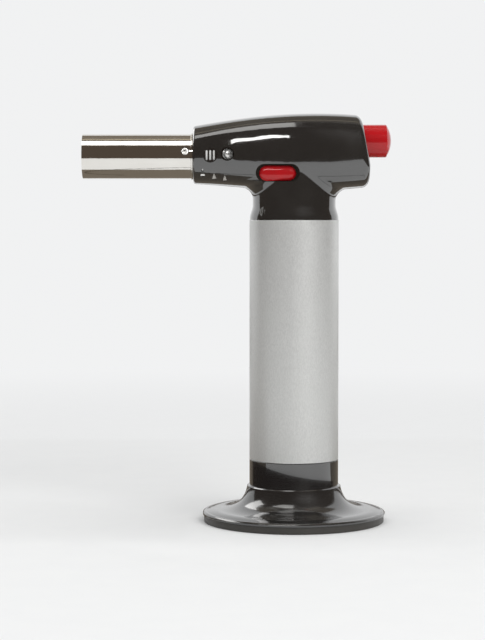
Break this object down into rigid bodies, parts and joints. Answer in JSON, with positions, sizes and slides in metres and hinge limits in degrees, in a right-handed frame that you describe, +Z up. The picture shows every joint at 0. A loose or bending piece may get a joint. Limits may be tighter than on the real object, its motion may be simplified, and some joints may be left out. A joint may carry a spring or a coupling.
{
  "type": "butane torch",
  "caption": "Hand-held butane torch with a chromed burner barrel, black head, push-button igniter, side flow slide, silver tank sleeve and a removable flared stand.",
  "frame": {"origin": "middle of the stand's underside, on the handle's axis", "axes": "+Z up the handle, -X the way the barrel points, -Y the near side with the flow slide"},
  "size_m": [0.1309, 0.078, 0.174],
  "materials": {
    "head_black": "glossy moulded black plastic",
    "button_red": "glossy red moulded plastic",
    "barrel_chrome": "polished plated steel",
    "sleeve_silver": "satin silver metallic finish with a fine grain",
    "tank_black": "glossy black plastic",
    "stand_black": "glossy black plastic",
    "foot_grey": "soft grey ring",
    "brass": "machined brass",
    "burner_steel": "turned steel, darkened by heat",
    "screw_steel": "bright zinc-plated steel",
    "spring_steel": "drawn spring wire",
    "ceramic_white": "unglazed white ceramic",
    "seal_rubber": "black nitrile rubber",
    "hose_clear": "translucent nylon tube",
    "lead_black": "black insulated wire",
    "piezo_white": "white moulded plastic",
    "inner_plastic": "black moulded acetal"
  },
  "bodies": {
    "torch": {"tank_body": "tank_black", "tank_lid": "tank_black", "sleeve": "sleeve_silver", "refill_valve_body": "brass", "refill_seal": "seal_rubber", "refill_spring": "spring_steel", "valve_body": "brass", "gas_filter": "inner_plastic", "valve_seal": "seal_rubber", "valve_spring": "spring_steel", "valve_clip": "spring_steel", "barrel": "barrel_chrome", "barrel_screw": "screw_steel", "burner_block": "burner_steel", "gas_jet": "brass", "mixing_tube": "burner_steel", "burner_collar": "burner_steel", "flame_holder": "burner_steel", "flame_gauze": "burner_steel", "electrode_insulator": "ceramic_white", "electrode": "screw_steel", "ignition_lead": "lead_black", "piezo_body": "piezo_white", "piezo_crystal": "ceramic_white", "piezo_spring": "spring_steel", "gas_tube": "hose_clear", "housing_left": "head_black", "housing_right": "head_black", "housing_screws": "screw_steel"},
    "button": {"ignition_button": "button_red", "piezo_plunger": "piezo_white", "valve_cam": "inner_plastic"},
    "valve_stem": {"valve_stem": "brass", "valve_yoke": "inner_plastic"},
    "flow_slide": {"flow_knob": "button_red", "flow_slider": "inner_plastic"},
    "flow_lever": {"flow_lever": "inner_plastic"},
    "refill_stem": {"refill_stem": "brass"},
    "stand": {"stand": "stand_black", "foot_ring": "foot_grey"}
  },
  "joints": [
    {"name": "button_press", "type": "slide", "parent": "torch", "child": "button", "axis": [-1, 0, 0], "range_m": [0, 0.005], "stiffness_N_per_m": 1200, "springref_m": -0.002, "deforming": ["piezo_spring"]},
    {"name": "valve_lift", "type": "slide", "parent": "torch", "child": "valve_stem", "axis": [0, 0, 1], "range_m": [0, 0.001], "stiffness_N_per_m": 500, "deforming": ["valve_spring"]},
    {"name": "flow_adjust", "type": "slide", "parent": "torch", "child": "flow_slide", "axis": [1, 0, 0], "range_m": [-0.0013, 0.0013]},
    {"name": "flow_turn", "type": "hinge", "parent": "torch", "child": "flow_lever", "pos_m": [0, 0, 0.1469], "axis": [0, 0, 1], "range_deg": [-8.5, 8.5]},
    {"name": "refill_press", "type": "slide", "parent": "torch", "child": "refill_stem", "axis": [0, 0, 1], "range_m": [0, 0.002], "stiffness_N_per_m": 600, "springref_m": -0.001, "deforming": ["refill_spring"]},
    {"name": "stand_pull", "type": "slide", "parent": "torch", "child": "stand", "axis": [0, 0, -1], "range_m": [0, 0.02]}
  ],
  "couplings": [
    {"joint": "valve_lift", "follows": "button_press", "ratio": 0.2},
    {"joint": "flow_turn", "follows": "flow_adjust", "rad_per_m": 111.11}
  ]
}
